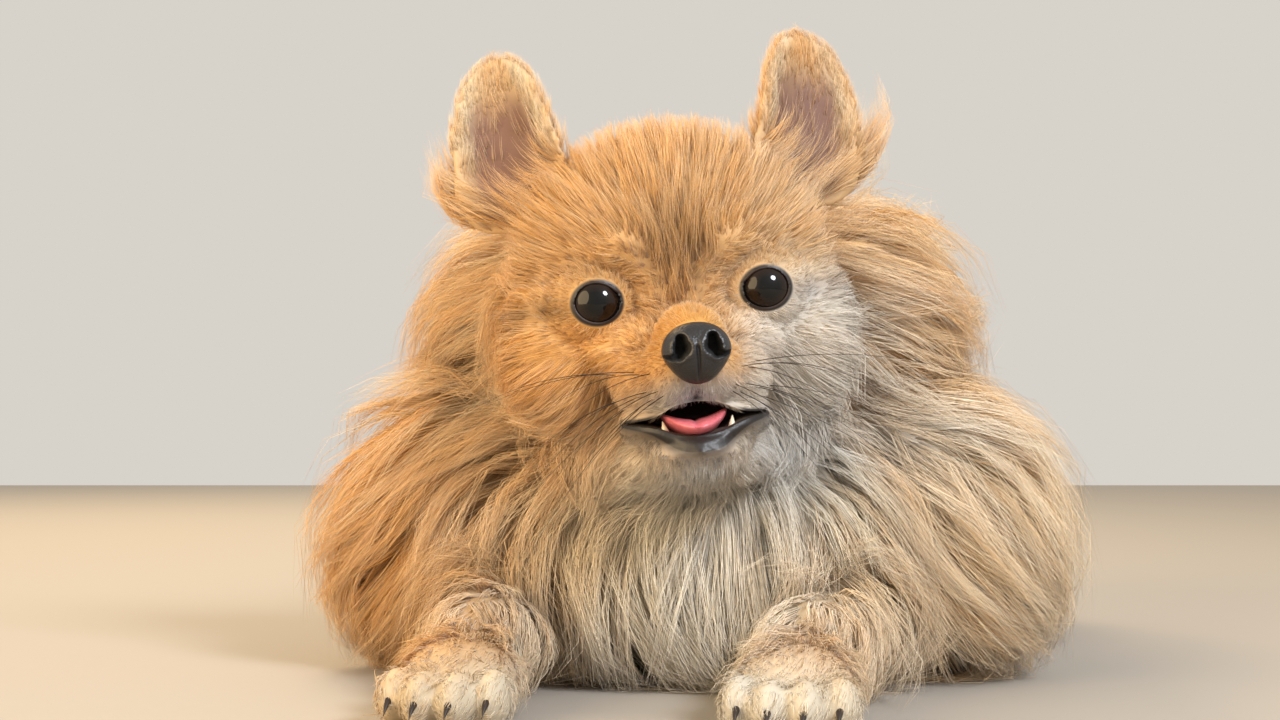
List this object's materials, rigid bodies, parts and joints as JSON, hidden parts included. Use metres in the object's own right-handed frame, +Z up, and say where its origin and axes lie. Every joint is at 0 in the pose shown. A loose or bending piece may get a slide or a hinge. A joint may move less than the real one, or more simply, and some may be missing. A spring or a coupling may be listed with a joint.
{
  "type": "pomeranian dog",
  "caption": "Small orange spitz dog with a long standing coat, lying on its chest with forelegs out, head up and plumed tail over its back.",
  "frame": {"origin": "on the floor, under the middle of the dog's bounding box", "axes": "+Z up; the dog faces -Y, so +Y runs towards its rump; +X is its left"},
  "size_m": [0.2636, 0.3966, 0.2032],
  "materials": {
    "coat": "long soft fur, orange with cream on the chest, muzzle, paws and tail",
    "eyes": "wet, very dark brown",
    "nose leather": "pebbled, moist",
    "teeth": "enamel",
    "tongue": "wet flesh",
    "claws": "horn"
  },
  "bodies": {
    "root": {"chest": "coat", "claw_fore_left_1": "claws", "claw_fore_left_2": "claws", "claw_fore_left_3": "claws", "claw_fore_left_4": "claws", "claw_fore_right_1": "claws", "claw_fore_right_2": "claws", "claw_fore_right_3": "claws", "claw_fore_right_4": "claws", "claw_hind_left_1": "claws", "claw_hind_left_2": "claws", "claw_hind_left_3": "claws", "claw_hind_left_4": "claws", "claw_hind_right_1": "claws", "claw_hind_right_2": "claws", "claw_hind_right_3": "claws", "claw_hind_right_4": "claws", "ear_left": "coat", "ear_right": "coat", "eye_left": "eyes", "eye_right": "eyes", "fore_paw_left": "coat", "fore_paw_right": "coat", "forearm_left": "coat", "forearm_right": "coat", "head": "coat", "hind_paw_left": "coat", "hind_paw_right": "coat", "loin": "coat", "lower_jaw": "coat", "muzzle": "coat", "neck": "coat", "nose": "nose leather", "rump": "coat", "shank_left": "coat", "shank_right": "coat", "tail_middle": "coat", "tail_root": "coat", "tail_tip": "coat", "teeth": "teeth", "thigh_left": "coat", "thigh_right": "coat", "tongue": "tongue", "trunk": "coat", "upper_arm_left": "coat", "upper_arm_right": "coat"}
  },
  "joints": []
}
